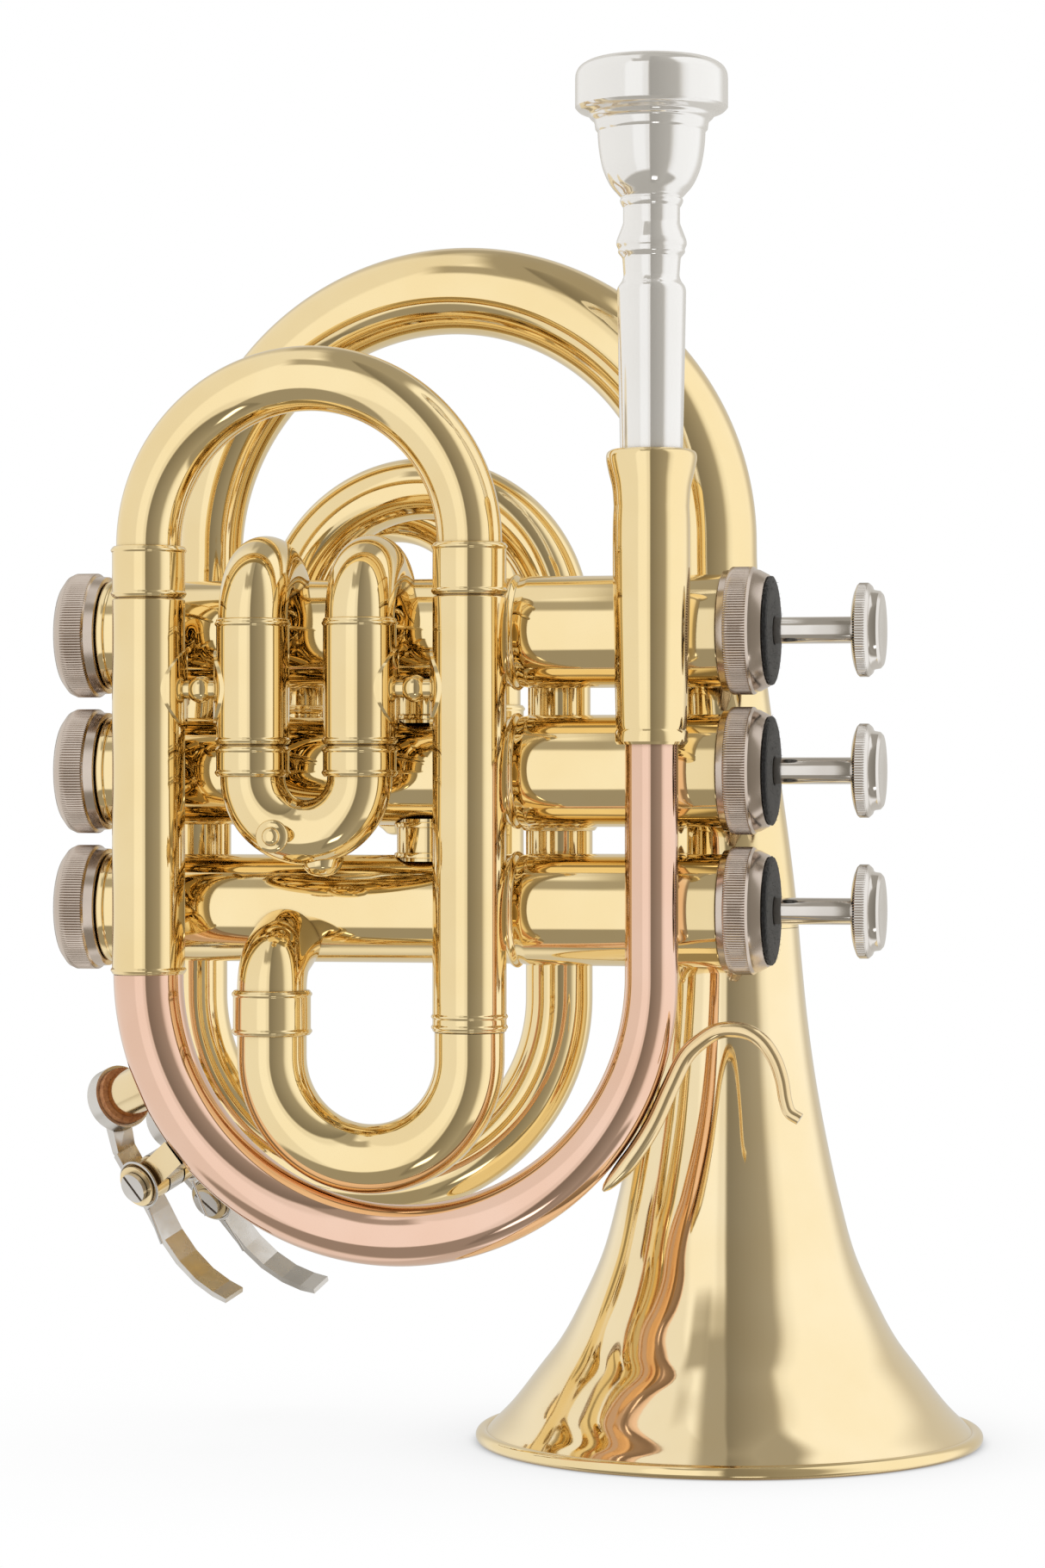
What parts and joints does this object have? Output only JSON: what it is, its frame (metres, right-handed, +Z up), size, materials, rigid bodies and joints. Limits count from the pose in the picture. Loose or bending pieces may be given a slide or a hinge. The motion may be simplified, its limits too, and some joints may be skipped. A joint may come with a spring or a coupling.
{
  "type": "pocket cornet",
  "caption": "Compact brass wind instrument, coiled tubing, three piston valves, pull-out tuning slides, water keys and a removable mouthpiece.",
  "frame": {"origin": "centre of the bell's mouth, on the surface the instrument stands on", "axes": "+Z up along the leadpipe and the bell's axis, away from the bell's mouth; +X along the valves, towards the finger buttons; -Y towards the side that holds the mouthpiece"},
  "size_m": [0.1689, 0.1035, 0.2515],
  "materials": {
    "lacquered_brass": "clear-lacquered polished yellow brass",
    "rose_brass": "clear-lacquered polished rose brass",
    "silver_plate": "polished silver plate",
    "nickel": "polished and knurled nickel plate",
    "nickel_piston": "lapped nickel-plated piston",
    "black_felt": "black wool felt",
    "cork": "natural cork pad",
    "guide_plastic": "white nylon guide",
    "spring_steel": "spring steel wire"
  },
  "bodies": {
    "body": {"receiver": "lacquered_brass", "leadpipe": "rose_brass", "slide_sleeve_left": "lacquered_brass", "slide_sleeve_right": "lacquered_brass", "lower_bow": "lacquered_brass", "lower_bow_ferrule": "lacquered_brass", "valve_casing_1": "lacquered_brass", "valve_casing_2": "lacquered_brass", "valve_casing_3": "lacquered_brass", "knuckles": "lacquered_brass", "valve_guides": "guide_plastic", "top_cap_1": "nickel", "top_cap_2": "nickel", "top_cap_3": "nickel", "cap_felts": "black_felt", "bottom_cap_1": "nickel", "bottom_cap_2": "nickel", "bottom_cap_3": "nickel", "first_slide_sleeves": "lacquered_brass", "second_slide_sleeves": "lacquered_brass", "third_slide_sleeves": "lacquered_brass", "slide_brace_left": "lacquered_brass", "slide_brace_right": "lacquered_brass", "bell": "lacquered_brass", "bell_rim": "lacquered_brass", "bell_bow": "lacquered_brass", "bell_tail": "lacquered_brass", "tail_arch": "lacquered_brass", "tail_ferrules": "lacquered_brass", "bell_brace": "lacquered_brass", "receiver_brace": "lacquered_brass", "pinky_hook": "lacquered_brass", "water_key_seats": "lacquered_brass", "key_screws": "nickel", "key_springs": "spring_steel"},
    "mouthpiece": {"mouthpiece": "silver_plate"},
    "main_slide": {"main_tuning_slide": "lacquered_brass", "main_slide_ferrules": "lacquered_brass"},
    "first_valve_slide": {"first_slide": "lacquered_brass", "first_slide_ferrules": "lacquered_brass", "first_slide_knobs": "lacquered_brass"},
    "second_valve_slide": {"second_slide": "lacquered_brass", "second_slide_knob": "lacquered_brass"},
    "third_valve_slide": {"third_slide": "lacquered_brass"},
    "valve_1": {"piston_1": "nickel_piston", "spring_1": "spring_steel", "button_1": "nickel"},
    "valve_2": {"piston_2": "nickel_piston", "spring_2": "spring_steel", "button_2": "nickel"},
    "valve_3": {"piston_3": "nickel_piston", "spring_3": "spring_steel", "button_3": "nickel"},
    "water_key_1": {"water_key_1": "nickel", "key_corks_1": "cork"},
    "water_key_2": {"water_key_2": "nickel", "key_corks_2": "cork"}
  },
  "joints": [
    {"name": "valve_1_press", "type": "slide", "parent": "body", "child": "valve_1", "axis": [-1, 0, 0], "range_m": [0, 0.0145], "stiffness_N_per_m": 120, "springref_m": -0.012, "deforming": ["spring_1"]},
    {"name": "valve_2_press", "type": "slide", "parent": "body", "child": "valve_2", "axis": [-1, 0, 0], "range_m": [0, 0.0145], "stiffness_N_per_m": 120, "springref_m": -0.012, "deforming": ["spring_2"]},
    {"name": "valve_3_press", "type": "slide", "parent": "body", "child": "valve_3", "axis": [-1, 0, 0], "range_m": [0, 0.0145], "stiffness_N_per_m": 120, "springref_m": -0.012, "deforming": ["spring_3"]},
    {"name": "mouthpiece_pull", "type": "slide", "parent": "body", "child": "mouthpiece", "axis": [0, 0, 1], "range_m": [0, 0.022]},
    {"name": "main_slide_pull", "type": "slide", "parent": "body", "child": "main_slide", "axis": [0, 0, 1], "range_m": [0, 0.03]},
    {"name": "first_slide_pull", "type": "slide", "parent": "body", "child": "first_valve_slide", "axis": [0, 0, -1], "range_m": [0, 0.007]},
    {"name": "second_slide_pull", "type": "slide", "parent": "body", "child": "second_valve_slide", "axis": [0, 1, 0], "range_m": [0, 0.014]},
    {"name": "third_slide_pull", "type": "slide", "parent": "body", "child": "third_valve_slide", "axis": [0, 0, 1], "range_m": [0, 0.015]},
    {"name": "water_key_1_open", "type": "hinge", "parent": "body", "child": "water_key_1", "pos_m": [-0.10046, -0.03349, 0.05149], "axis": [-0.452, -0.8192, -0.3531], "range_deg": [0, 12], "stiffness_Nm_per_rad": 0.05, "springref_deg": -17.19},
    {"name": "water_key_2_open", "type": "hinge", "parent": "body", "child": "water_key_2", "pos_m": [-0.09956, 0.00909, 0.04533], "axis": [-0.3687, -0.8192, -0.4394], "range_deg": [0, 12], "stiffness_Nm_per_rad": 0.05, "springref_deg": -17.19}
  ]
}
